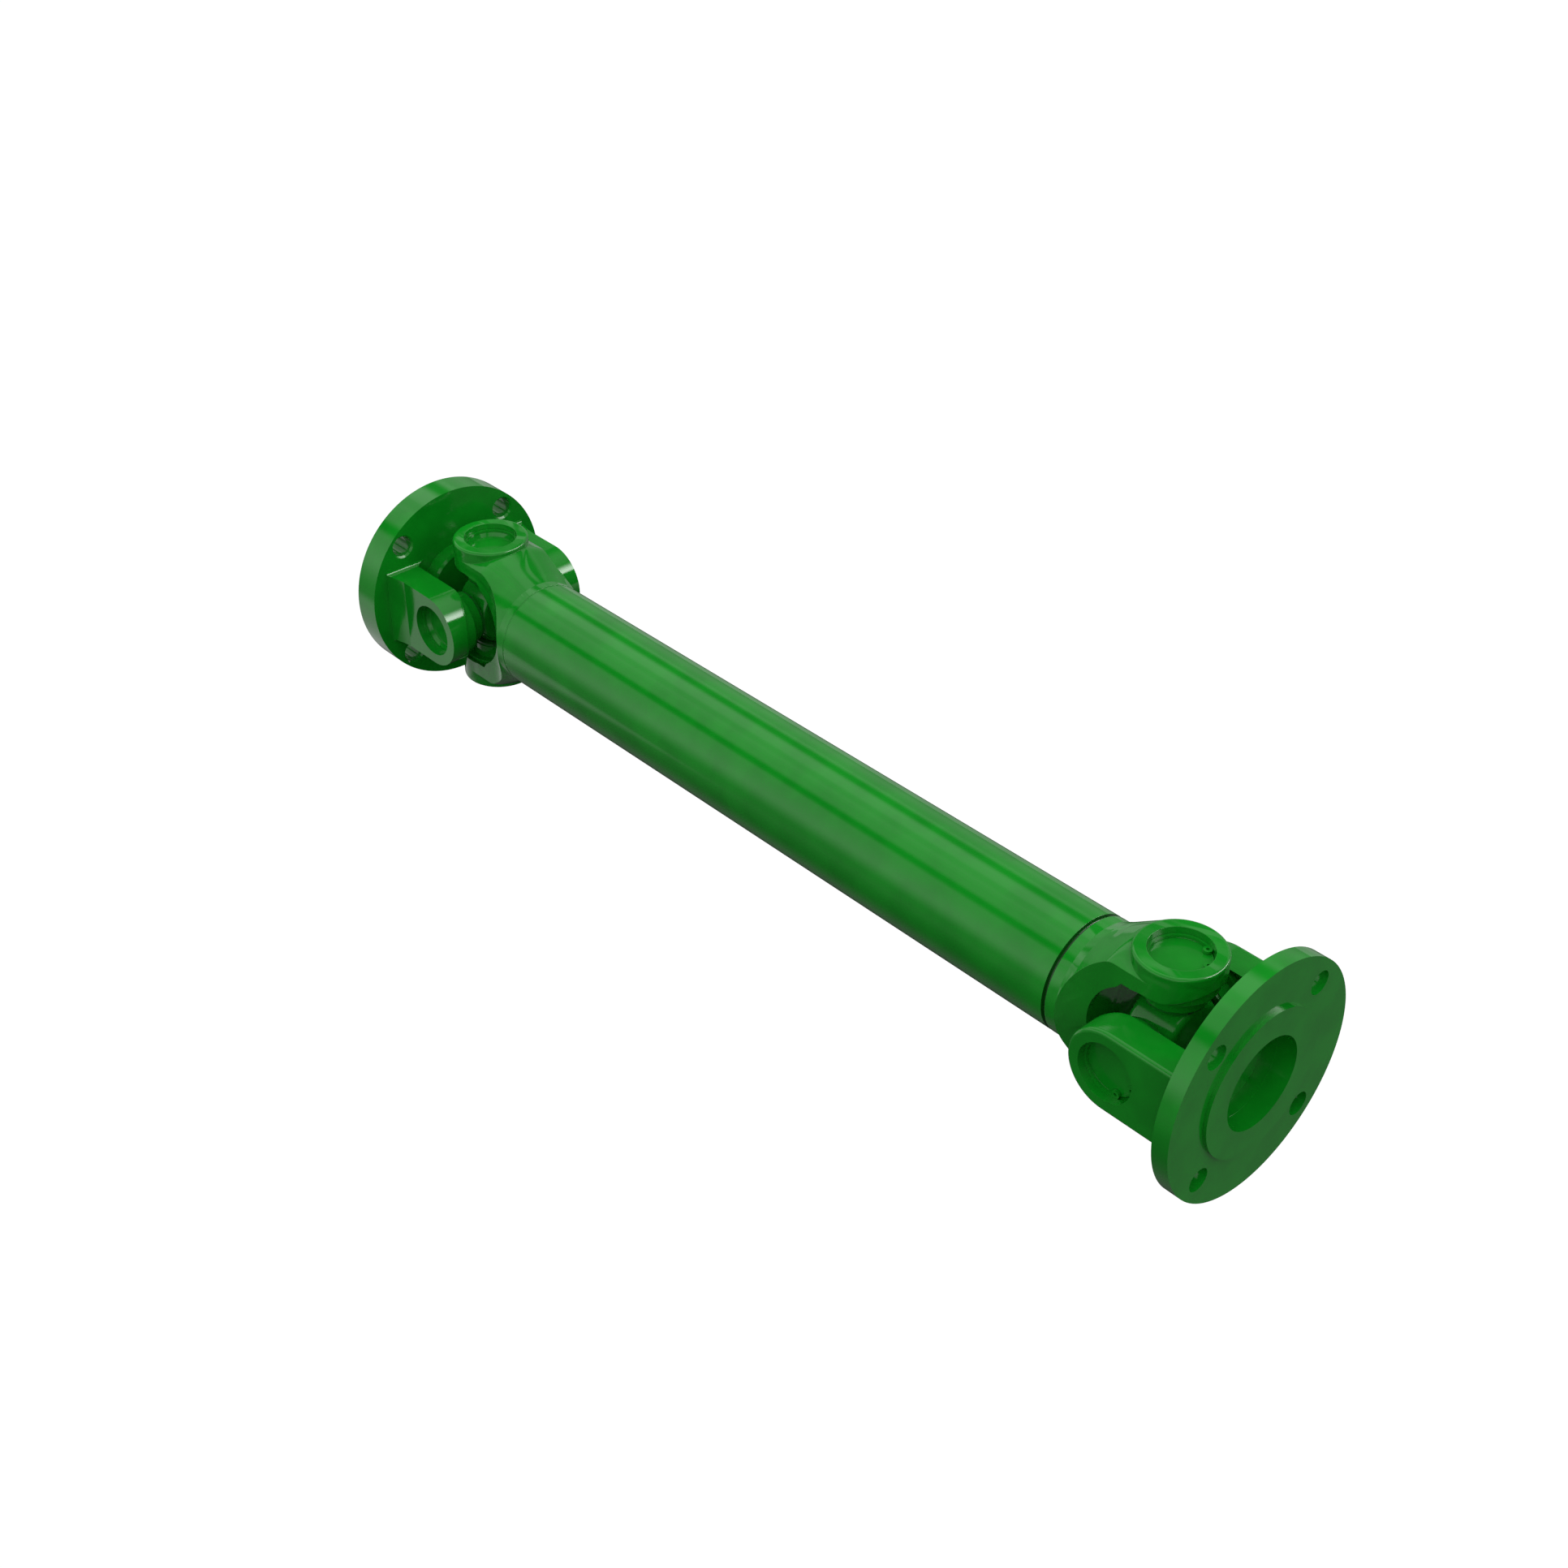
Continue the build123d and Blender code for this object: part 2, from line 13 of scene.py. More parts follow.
import bmesh
import bpy
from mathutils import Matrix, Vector


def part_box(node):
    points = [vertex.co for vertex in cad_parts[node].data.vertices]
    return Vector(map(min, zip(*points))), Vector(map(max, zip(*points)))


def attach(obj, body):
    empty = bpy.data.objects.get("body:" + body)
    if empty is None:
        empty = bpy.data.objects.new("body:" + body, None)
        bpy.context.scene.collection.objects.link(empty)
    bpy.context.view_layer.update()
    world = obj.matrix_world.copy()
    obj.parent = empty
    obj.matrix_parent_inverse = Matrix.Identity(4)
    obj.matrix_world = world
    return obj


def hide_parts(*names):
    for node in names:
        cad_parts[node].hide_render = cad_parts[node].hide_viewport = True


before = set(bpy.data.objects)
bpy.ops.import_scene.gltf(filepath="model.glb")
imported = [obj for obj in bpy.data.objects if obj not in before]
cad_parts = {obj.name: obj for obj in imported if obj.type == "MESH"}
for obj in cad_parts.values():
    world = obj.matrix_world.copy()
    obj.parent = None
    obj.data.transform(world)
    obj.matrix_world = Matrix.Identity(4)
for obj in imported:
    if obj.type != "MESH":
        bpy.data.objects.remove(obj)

LOG = logging.getLogger("drive_shaft")
MM = 0.001
MERGE_DISTANCE = 0.001 * MM
SHAFT_CENTRE = (0, 0, 0)
SHAFT_AXIS = (1, 0, 0)
WHITE = (1.0, 1.0, 1.0)

Triple = tuple[float, float, float]
Colour = Triple
Span = tuple[float, float]
Outline = list[tuple[float, float]]


class End(Enum):
    """The shaft's two ends. Each value starts the names of that end's pieces."""

    NEAR = "near"
    FAR = "far"


class Ear(Enum):
    """The four ears of a joint. Each value is in the names of what sits in that ear."""

    TOP = "top"
    BOTTOM = "bottom"
    FRONT = "front"
    BACK = "back"


class Working(Enum):
    """How a surface was made before it was painted, which still shows through the paint."""

    DRAWN = "drawn"
    FORGED = "forged"
    PRESSED = "pressed"
    TURNED = "turned"
    WELDED = "welded"


class Ray(Enum):
    """The kinds of ray that get a light of their own. Each value is a Light Path output."""

    CAMERA = "Is Camera Ray"
    GLOSSY = "Is Glossy Ray"


class MixSocket(Enum):
    """The sockets of a Mix node that are in use when it mixes colours."""

    SHARE = 0
    FIRST = 6
    SECOND = 7
    RESULT = 2


class Value:
    """One shader socket, so that maths on it is written as an expression."""

    def __init__(self, sheet: "Sheet", socket: bpy.types.NodeSocket) -> None:
        """Wraps a socket.

        Args:
            sheet: The node tree that the socket belongs to.
            socket: An output socket in that tree.
        """
        self.sheet = sheet
        self.socket = socket

    def _math(self, operation: str, *terms: "Value | float") -> "Value":
        """Adds one Math node.

        Args:
            operation: The Math node's operation.
            terms: Its inputs in order, this value among them.

        Returns:
            The node's result.
        """
        return self.sheet.node("ShaderNodeMath", {"operation": operation}, dict(enumerate(terms)))

    def __add__(self, other: "Value | float") -> "Value":
        """This value plus another."""
        return self._math("ADD", self, other)

    def __sub__(self, other: "Value | float") -> "Value":
        """This value less another."""
        return self._math("SUBTRACT", self, other)

    def __rsub__(self, other: float) -> "Value":
        """A number less this value."""
        return self._math("SUBTRACT", other, self)

    def __mul__(self, other: "Value | float") -> "Value":
        """This value times another."""
        return self._math("MULTIPLY", self, other)

    def __rtruediv__(self, other: float) -> "Value":
        """A number over this value."""
        return self._math("DIVIDE", other, self)

    def __neg__(self) -> "Value":
        """This value with its sign turned."""
        return self._math("MULTIPLY", self, -1.0)

    def sine(self) -> "Value":
        """The sine of this value in radians."""
        return self._math("SINE", self)

    def size(self) -> "Value":
        """This value without its sign."""
        return self._math("ABSOLUTE", self)

    def root(self) -> "Value":
        """The square root of this value."""
        return self._math("SQRT", self)

    def angle(self, other: "Value") -> "Value":
        """The angle whose tangent is this value over another.

        Args:
            other: The value below the line.

        Returns:
            The angle in degrees.
        """
        return self._math("ARCTAN2", self, other) * math.degrees(1)

    def reach(self, other: "Value") -> "Value":
        """The long side of a right angle.

        Args:
            other: One short side, this value being the other.

        Returns:
            The long side.
        """
        return (self * self + other * other).root()

    def ramp(self, low: float, high: float) -> "Value":
        """A smooth step.

        Args:
            low: Where the step is still 0.
            high: Where it has reached 1. It may lie below low.

        Returns:
            A value from 0 to 1.
        """
        settings = {"interpolation_type": "SMOOTHSTEP"}
        inputs = {"Value": self, "From Min": low, "From Max": high, "To Min": 0.0, "To Max": 1.0}
        return self.sheet.node("ShaderNodeMapRange", settings, inputs)

    def lift(self, least: float) -> "Value":
        """Squeezes a value that runs from 0 to 1.

        Args:
            least: What 0 becomes.

        Returns:
            A value from least to 1.
        """
        return self * (1.0 - least) + least


class Sheet:
    """A node tree, with methods that add its nodes."""

    noise_roughness = 0.55

    def __init__(self, tree: bpy.types.NodeTree) -> None:
        """Clears a node tree to start from nothing.

        Args:
            tree: The tree of a material or of the world.
        """
        self.tree = tree
        tree.nodes.clear()

    def node(
        self,
        kind: str,
        settings: "dict[str, object] | None" = None,
        inputs: "dict[str | int, object] | None" = None,
        output: "str | int" = 0,
    ) -> Value:
        """Adds a node, sets it and links it.

        Args:
            kind: The node's type.
            settings: The node's own settings, which are set first.
            inputs: The values or links of its sockets, by name or number.
            output: The output that is wanted, by name or number.

        Returns:
            That output.
        """
        made = self.tree.nodes.new(kind)
        for name, value in (settings or {}).items():
            setattr(made, name, value)
        for name, value in (inputs or {}).items():
            socket = made.inputs[name]
            if isinstance(value, Value):
                self.tree.links.new(value.socket, socket)
            elif isinstance(value, tuple) and socket.type == "RGBA":
                socket.default_value = (*value, 1.0)
            else:
                socket.default_value = value
        return Value(self, made.outputs[output] if made.outputs else None)

    def place(self) -> Value:
        """The point on the object, in metres."""
        return self.node("ShaderNodeTexCoord", output="Object")

    def direction(self) -> Value:
        """The direction in which a ray meets the sky."""
        return self.node("ShaderNodeTexCoord", output="Generated")

    def ray(self, kind: Ray) -> Value:
        """Tells one kind of ray from the others.

        Args:
            kind: The kind of ray.

        Returns:
            1 for that kind and 0 for any other.
        """
        return self.node("ShaderNodeLightPath", output=kind.value)

    def axes(self, vector: Value) -> tuple[Value, Value, Value]:
        """Splits a vector.

        Args:
            vector: The vector to split.

        Returns:
            Its parts along X, Y and Z.
        """
        split = self.tree.nodes.new("ShaderNodeSeparateXYZ")
        self.tree.links.new(vector.socket, split.inputs[0])
        return tuple(Value(self, part) for part in split.outputs)

    def noise(self, place: Value, size: float, detail: float = 2.0, stretch: Triple = (1, 1, 1)) -> Value:
        """A soft noise.

        Args:
            place: The point it is read at, in metres.
            size: The size of its cells, in metres.
            detail: How many finer layers it has.
            stretch: How much its cells are drawn out along each axis.

        Returns:
            A value about one half.
        """
        scale = tuple(1 / (size * part) for part in stretch)
        moved = self.node("ShaderNodeVectorMath", {"operation": "MULTIPLY"}, {0: place, 1: scale})
        inputs = {"Vector": moved, "Scale": 1.0, "Detail": detail, "Roughness": self.noise_roughness}
        return self.node("ShaderNodeTexNoise", inputs=inputs)

    def blend(self, share: Value, first: Colour, second: Colour) -> Value:
        """Mixes two colours.

        Args:
            share: How much of the second there is.
            first: The colour at 0.
            second: The colour at 1.

        Returns:
            The mixed colour.
        """
        inputs = {
            MixSocket.SHARE.value: share,
            MixSocket.FIRST.value: first,
            MixSocket.SECOND.value: second,
        }
        return self.node("ShaderNodeMix", {"data_type": "RGBA"}, inputs, MixSocket.RESULT.value)

    def bump(self, height: Value, edge_radius: float = 0.0, edge_samples: int = 6) -> Value:
        """Turns a height into the way that the surface faces.

        Args:
            height: The height of its marks, in metres.
            edge_radius: The radius that its sharp edges seem to have, in metres, or 0 to leave them.
            edge_samples: How many looks it takes at each edge.

        Returns:
            The surface's normal.
        """
        inputs = {"Height": height, "Distance": 1.0, "Strength": 1.0}
        if edge_radius:
            settings = {"samples": edge_samples}
            inputs["Normal"] = self.node("ShaderNodeBevel", settings, {"Radius": edge_radius})
        return self.node("ShaderNodeBump", inputs=inputs)

    def glow(self, strength: "Value | float") -> Value:
        """White light from a surface.

        Args:
            strength: Its strength.

        Returns:
            The shader.
        """
        return self.node("ShaderNodeEmission", inputs={"Color": WHITE, "Strength": strength})

    def choose(self, share: Value, first: Value, second: Value) -> Value:
        """Mixes two shaders.

        Args:
            share: How much of the second there is.
            first: The shader at 0.
            second: The shader at 1.

        Returns:
            The mixed shader.
        """
        return self.node("ShaderNodeMixShader", inputs={0: share, 1: first, 2: second})

    def show(self, shader: Value) -> None:
        """Ends a material's tree.

        Args:
            shader: What the surface shows.
        """
        self.node("ShaderNodeOutputMaterial", inputs={"Surface": shader})


def new_material(name: str) -> tuple[bpy.types.Material, Sheet]:
    """Starts a material.

    Args:
        name: Its name.

    Returns:
        The material, and its empty node tree.
    """
    material = bpy.data.materials.new(name)
    material.use_nodes = True
    return material, Sheet(material.node_tree)


@dataclass(frozen=True)
class Marks:
    """The marks that each way of working leaves in the steel."""

    line_width: float = 0.9 * MM
    line_stretch: Triple = (400, 1, 1)
    line_height: float = 0.006 * MM
    scale_size: float = 3.2 * MM
    scale_height: float = 0.012 * MM
    dent_size: float = 11 * MM
    dent_height: float = 0.22 * MM
    flow_size: float = 13 * MM
    flow_stretch: Triple = (1.8, 1, 1)
    crease_width: float = 0.1
    crease_height: float = 0.14 * MM
    wave_size: float = 5 * MM
    wave_height: float = 0.01 * MM
    ring_pitch: float = 0.9 * MM
    ring_height: float = 0.0012 * MM
    grain_size: float = 0.8 * MM
    grain_height: float = 0.03 * MM

    def drawn(self, sheet: Sheet, place: Value) -> Value:
        """Fine lines along the tube.

        Args:
            sheet: The material's node tree.
            place: The point on the object.

        Returns:
            A height in metres.
        """
        lines = sheet.noise(place, self.line_width, detail=3.0, stretch=self.line_stretch)
        return lines * self.line_height

    def forged(self, sheet: Sheet, place: Value) -> Value:
        """Scale, soft dents, and creases where the steel flowed.

        Args:
            sheet: The material's node tree.
            place: The point on the object.

        Returns:
            A height in metres.
        """
        scale = sheet.noise(place, self.scale_size, detail=3.0)
        dents = sheet.noise(place, self.dent_size, detail=1.0)
        flow = sheet.noise(place, self.flow_size, detail=0.0, stretch=self.flow_stretch)
        creases = (flow - 0.5).size().ramp(0.0, self.crease_width)
        return scale * self.scale_height + dents * self.dent_height + creases * self.crease_height

    def pressed(self, sheet: Sheet, place: Value) -> Value:
        """A slow wave.

        Args:
            sheet: The material's node tree.
            place: The point on the object.

        Returns:
            A height in metres.
        """
        return sheet.noise(place, self.wave_size, detail=0.0) * self.wave_height

    def turned(self, sheet: Sheet, place: Value) -> Value:
        """The tool's rings about the shaft's axis.

        Args:
            sheet: The material's node tree.
            place: The point on the object.

        Returns:
            A height in metres.
        """
        _, across, up = sheet.axes(place)
        return (across.reach(up) * (math.tau / self.ring_pitch)).sine() * self.ring_height

    def welded(self, sheet: Sheet, place: Value) -> Value:
        """A fine grain.

        Args:
            sheet: The material's node tree.
            place: The point on the object.

        Returns:
            A height in metres.
        """
        return sheet.noise(place, self.grain_size) * self.grain_height

    def height(self, working: Working, sheet: Sheet, place: Value) -> Value:
        """The marks of one way of working.

        Args:
            working: How the surface was made.
            sheet: The material's node tree.
            place: The point on the object.

        Returns:
            A height in metres.
        """
        makers = {
            Working.DRAWN: self.drawn,
            Working.FORGED: self.forged,
            Working.PRESSED: self.pressed,
            Working.TURNED: self.turned,
            Working.WELDED: self.welded,
        }
        return makers[working](sheet, place)


@dataclass(frozen=True)
class Enamel:
    """Glossy green machine enamel over one kind of worked steel."""

    name: str
    working: Working
    colour: Colour = (0.004, 0.255, 0.012)
    thick_colour: Colour = (0.003, 0.215, 0.010)
    mottle_size: float = 22 * MM
    mottle_span: Span = (0.35, 0.65)
    roughness: float = 0.10
    roughness_spread: float = 0.03
    haze_size: float = 6 * MM
    peel_size: float = 1.1 * MM
    peel_height: float = 0.006 * MM
    edge_radius: float = 0.0
    refraction: float = 1.5
    marks: Marks = Marks()

    def build(self) -> bpy.types.Material:
        """Makes the material.

        Returns:
            The finished material.
        """
        material, sheet = new_material(self.name)
        place = sheet.place()
        mottle = sheet.noise(place, self.mottle_size, detail=3.0).ramp(*self.mottle_span)
        haze = sheet.noise(place, self.haze_size)
        peel = sheet.noise(place, self.peel_size, detail=1.0) * self.peel_height
        height = peel + self.marks.height(self.working, sheet, place)
        inputs = {
            "Base Color": sheet.blend(mottle, self.colour, self.thick_colour),
            "Roughness": (haze - 0.5) * self.roughness_spread + self.roughness,
            "IOR": self.refraction,
            "Normal": sheet.bump(height, self.edge_radius),
        }
        sheet.show(sheet.node("ShaderNodeBsdfPrincipled", inputs=inputs))
        return material


@dataclass(frozen=True)
class GroundSteel:
    """Bright ground steel with a film of grease."""

    name: str
    colour: Colour = (0.52, 0.51, 0.48)
    grease_colour: Colour = (0.30, 0.25, 0.15)
    grease_cover: float = 0.6
    grease_size: float = 4 * MM
    grease_span: Span = (0.5, 0.75)
    grease_dulling: float = 0.5
    roughness: float = 0.17
    grease_roughness: float = 0.2
    grain_roughness: float = 0.1
    grain_size: float = 0.4 * MM
    grain_height: float = 0.004 * MM

    def build(self) -> bpy.types.Material:
        """Makes the material.

        Returns:
            The finished material.
        """
        material, sheet = new_material(self.name)
        place = sheet.place()
        grease = sheet.noise(place, self.grease_size, detail=3.0).ramp(*self.grease_span)
        grain = sheet.noise(place, self.grain_size)
        inputs = {
            "Base Color": sheet.blend(grease * self.grease_cover, self.colour, self.grease_colour),
            "Metallic": 1.0 - grease * self.grease_dulling,
            "Roughness": grain * self.grain_roughness + grease * self.grease_roughness + self.roughness,
            "Normal": sheet.bump(grain * self.grain_height),
        }
        sheet.show(sheet.node("ShaderNodeBsdfPrincipled", inputs=inputs))
        return material


@dataclass(frozen=True)
class SealRubber:
    """Black moulded rubber under a thin, dull coat of the shaft's enamel."""

    name: str
    colour: Colour = (0.004, 0.14, 0.010)
    bare_colour: Colour = (0.010, 0.022, 0.012)
    bare_size: float = 3 * MM
    bare_span: Span = (0.55, 0.7)
    roughness: float = 0.3
    bare_roughness: float = 0.25
    grain_size: float = 0.5 * MM
    grain_height: float = 0.008 * MM

    def build(self) -> bpy.types.Material:
        """Makes the material.

        Returns:
            The finished material.
        """
        material, sheet = new_material(self.name)
        place = sheet.place()
        bare = sheet.noise(place, self.bare_size, detail=4.0).ramp(*self.bare_span)
        grain = sheet.noise(place, self.grain_size)
        inputs = {
            "Base Color": sheet.blend(bare, self.colour, self.bare_colour),
            "Roughness": bare * self.bare_roughness + self.roughness,
            "Normal": sheet.bump(grain * self.grain_height),
        }
        sheet.show(sheet.node("ShaderNodeBsdfPrincipled", inputs=inputs))
        return material


class PaintShop:
    """Makes each finish once and puts it on the pieces."""

    # Painted shade: a dark green that stands for the shade inside the near weld's deep groove.
    painted_shade_green: Colour = (0.001, 0.07, 0.003)

    def __init__(self) -> None:
        """Makes every finish."""
        self.tube = Enamel("tube_enamel", Working.DRAWN, edge_radius=0.3 * MM).build()
        self.forging = Enamel("forging_enamel", Working.FORGED, edge_radius=0.35 * MM).build()
        self.turned = Enamel("turned_enamel", Working.TURNED).build()
        self.pressed = Enamel("pressed_enamel", Working.PRESSED).build()
        # The near weld's enamel is painted in the dark shade green, as painted shade in its deep groove.
        shaded_deep_weld = Enamel(
            "near_weld_shaded_enamel", Working.WELDED, self.painted_shade_green, self.painted_shade_green, roughness=0.3
        )
        flush_weld = Enamel("far_weld_enamel", Working.WELDED, roughness=0.14)
        self.weld = {End.NEAR: shaded_deep_weld.build(), End.FAR: flush_weld.build()}
        self.steel = GroundSteel("bearing_steel").build()
        self.rubber = SealRubber("seal_rubber").build()

    def dress(self, node: str, material: bpy.types.Material) -> None:
        """Gives a CAD node its finish.

        Args:
            node: The node's name.
            material: The finish.
        """
        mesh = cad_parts[node].data
        mesh.materials.clear()
        mesh.materials.append(material)
        LOG.info("%s: %s", node, material.name)


def revolve(outline: Outline, closed: bool, steps: int) -> bmesh.types.BMesh:
    """Turns an outline right round the shaft's axis.

    Args:
        outline: Its points, each with its place along the axis and its distance from it.
        closed: Whether a last edge joins its two ends.
        steps: How many steps go round.

    Returns:
        The shape.
    """
    shape = bmesh.new()
    verts = [shape.verts.new((along, 0, out)) for along, out in outline]
    following = verts[1:] + verts[:1] if closed else verts[1:]
    edges = [shape.edges.new(pair) for pair in zip(verts, following)]
    bmesh.ops.spin(
        shape,
        geom=verts + edges,
        cent=SHAFT_CENTRE,
        axis=SHAFT_AXIS,
        angle=math.tau,
        steps=steps,
        use_merge=True,
    )
    bmesh.ops.remove_doubles(shape, verts=shape.verts, dist=MERGE_DISTANCE)
    return shape


def add_piece(name: str, shape: bmesh.types.BMesh, material: bpy.types.Material) -> bpy.types.Object:
    """Puts a finished shape into the scene.

    Args:
        name: The name of the piece and of its mesh.
        shape: The shape, which is freed.
        material: Its finish.

    Returns:
        The piece.
    """
    mesh = bpy.data.meshes.new(name)
    shape.to_mesh(mesh)
    shape.free()
    mesh.materials.append(material)
    piece = bpy.data.objects.new(name, mesh)
    bpy.context.scene.collection.objects.link(piece)
    LOG.info("%s: %d faces", name, len(mesh.polygons))
    return piece


def smooth_by_angle(piece: bpy.types.Object, angle: float) -> None:
    """Shades a piece smooth apart from its edges that are sharper than an angle.

    Args:
        piece: The piece, with its mesh finished.
        angle: The angle, in degrees.
    """
    mesh = piece.data
    mesh.shade_smooth()
    sharp = bmesh.new()
    sharp.from_mesh(mesh)
    for edge in sharp.edges:
        edge.smooth = len(edge.link_faces) != 2 or edge.calc_face_angle(0.0) < math.radians(angle)
    sharp.to_mesh(mesh)
    sharp.free()


@dataclass
class CentreTube:
    """The plain drawn tube between the two joints."""

    shop: PaintShop
    node: str = "centre_tube"

    def dress(self) -> None:
        """Paints the tube."""
        self.shop.dress(self.node, self.shop.tube)


@dataclass
class WeldBead:
    """The weld around one end of the tube, with the ripples of its passes.

    The near one is a deep hollow fillet in its groove, and its enamel is painted dark green as the
    groove's shade. The far one fills its groove.
    """

    shop: PaintShop
    end: End
    rows: int = 9
    edge_depth: float = 0.06 * MM
    near_depth: float = 1.5 * MM
    far_depth: float = 0.12 * MM
    ripples: int = 150
    steps_per_ripple: int = 3
    ripple_height: float = 0.05 * MM
    ripple_bow: float = 5.0
    smooth_angle: float = 50.0

    @property
    def depth(self) -> float:
        """How far the bead's middle lies below the tube, in metres."""
        return self.near_depth if self.end is End.NEAR else self.far_depth

    def outline(self, start: float, stop: float, radius: float, inner: float) -> Outline:
        """The bead's section: a hollow curve from side to side and the two corners under it.

        Args:
            start: Where the bead starts along the shaft.
            stop: Where it stops.
            radius: The tube's radius.
            inner: The radius of the bead's underside.

        Returns:
            The section's points, each with its place along the shaft and its radius.
        """
        line = []
        for row in range(self.rows):
            share = row / (self.rows - 1)
            hollow = math.sqrt(1 - (2 * share - 1) ** 2) * (self.depth - self.edge_depth)
            line.append((start + share * (stop - start), radius - self.edge_depth - hollow))
        return line + [(stop, inner), (start, inner)]

    def ripple(self, shape: bmesh.types.BMesh, start: float, width: float, underside: float) -> None:
        """Presses the ripples into the bead's outer face.

        Args:
            shape: The plain bead.
            start: Where the bead starts along the shaft.
            width: Its width.
            underside: The radius up to which its points stay where they are.
        """
        for vert in shape.verts:
            out = Vector((0, vert.co.y, vert.co.z))
            if out.length > underside:
                bow = self.ripple_bow * ((vert.co.x - start) / width - 0.5) ** 2
                phase = math.atan2(vert.co.y, vert.co.z) * self.ripples + bow
                vert.co -= out.normalized() * self.ripple_height * (0.5 + 0.5 * math.sin(phase))

    def build(self) -> bpy.types.Object:
        """Makes the bead in the space of the CAD ring.

        Returns:
            The bead.
        """
        node = f"{self.end.value}_weld"
        low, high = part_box(node)
        width = high.x - low.x
        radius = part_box("centre_tube")[1].z
        inner = radius - self.depth - width / 2
        outline = self.outline(low.x, high.x, radius, inner)
        shape = revolve(outline, closed=True, steps=self.ripples * self.steps_per_ripple)
        self.ripple(shape, low.x, width, inner + width / 4)
        bmesh.ops.recalc_face_normals(shape, faces=shape.faces)
        bead = add_piece(f"{node}_bead", shape, self.shop.weld[self.end])
        smooth_by_angle(bead, self.smooth_angle)
        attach(bead, "tube")
        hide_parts(node)
        return bead


@dataclass
class FlangeHub:
    """The round hub behind the near flange's recess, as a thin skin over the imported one.

    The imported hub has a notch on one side, which the skin closes. Its places are measured back from the
    pilot's face, and its front edge is let into the flange.
    """

    shop: PaintShop
    node: str = "near_flange_yoke"
    flange_back: float = 8.5 * MM
    recess_floor: float = 13.5 * MM
    taper_start: float = 14.5 * MM
    end: float = 17.7 * MM
    outer_radius: float = 22.0 * MM
    recess_radius: float = 19.0 * MM
    end_radius: float = 16.0 * MM
    skin: float = 0.08 * MM
    let_in: float = 0.3 * MM
    steps: int = 128
    smooth_angle: float = 20.0

    def outline(self) -> Outline:
        """The skin's section, from the middle of the recess's floor round to the middle of the hub's end.

        Returns:
            The section's points, each with its place along the shaft and its radius.
        """
        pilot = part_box(self.node)[1].x
        floor = self.recess_floor - self.skin
        front = self.flange_back - self.let_in
        end = self.end + self.skin
        inner = self.recess_radius - self.skin
        outer = self.outer_radius + self.skin
        line = [
            (floor, 0.0),
            (floor, inner),
            (front, inner),
            (front, outer),
            (self.taper_start, outer),
            (end, self.end_radius + self.skin),
            (end, 0.0),
        ]
        return [(pilot - back, out) for back, out in line]

    def build(self) -> bpy.types.Object:
        """Makes the skin.

        Returns:
            The hub.
        """
        shape = revolve(self.outline(), closed=False, steps=self.steps)
        bmesh.ops.recalc_face_normals(shape, faces=shape.faces)
        hub = add_piece("near_hub", shape, self.shop.turned)
        smooth_by_angle(hub, self.smooth_angle)
        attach(hub, "near_flange")
        return hub


@dataclass
class UniversalJoint:
    """One joint: the two yokes, the cross between them and what sits in their ears."""

    shop: PaintShop
    end: End

    def dress_yokes(self) -> None:
        """Paints the tube yoke and the flange yoke."""
        self.shop.dress(f"{self.end.value}_tube_yoke", self.shop.forging)
        self.shop.dress(f"{self.end.value}_flange_yoke", self.shop.turned)

    def dress_cross(self) -> None:
        """Paints the cross and its grease nipple."""
        self.shop.dress(f"{self.end.value}_cross", self.shop.pressed)
        self.shop.dress(f"{self.end.value}_grease_nipple", self.shop.turned)

    def dress_bearings(self) -> None:
        """Finishes the cups, needles, seals and snap rings."""
        for ear in Ear:
            stem = f"{self.end.value}_{ear.value}"
            self.shop.dress(f"{stem}_cup", self.shop.pressed)
            self.shop.dress(f"{stem}_snap_ring", self.shop.pressed)
            self.shop.dress(f"{stem}_needles", self.shop.steel)
            self.shop.dress(f"{stem}_seal", self.shop.rubber)

    def build(self) -> None:
        """Finishes the whole joint and lays the weld that holds it to the tube."""
        self.dress_yokes()
        self.dress_cross()
        self.dress_bearings()
        WeldBead(self.shop, self.end).build()


@dataclass(frozen=True)
class Horizon:
    """What gloss sees where the sky meets the ground, which the sky and the floor share."""

    span: Span = (-0.2, 0.2)
    ground: float = 0.2

    def rise(self, up: Value) -> Value:
        """How much of the sky's light is there.

        Args:
            up: The upward part of the direction.

        Returns:
            A value from 0 below the horizon to 1 above it.
        """
        return up.ramp(*self.span)


@dataclass(frozen=True)
class Seam:
    """A dark line in the tent, with its lean and half width in degrees and the light in its middle."""

    lean: float
    half_width: float
    light: float


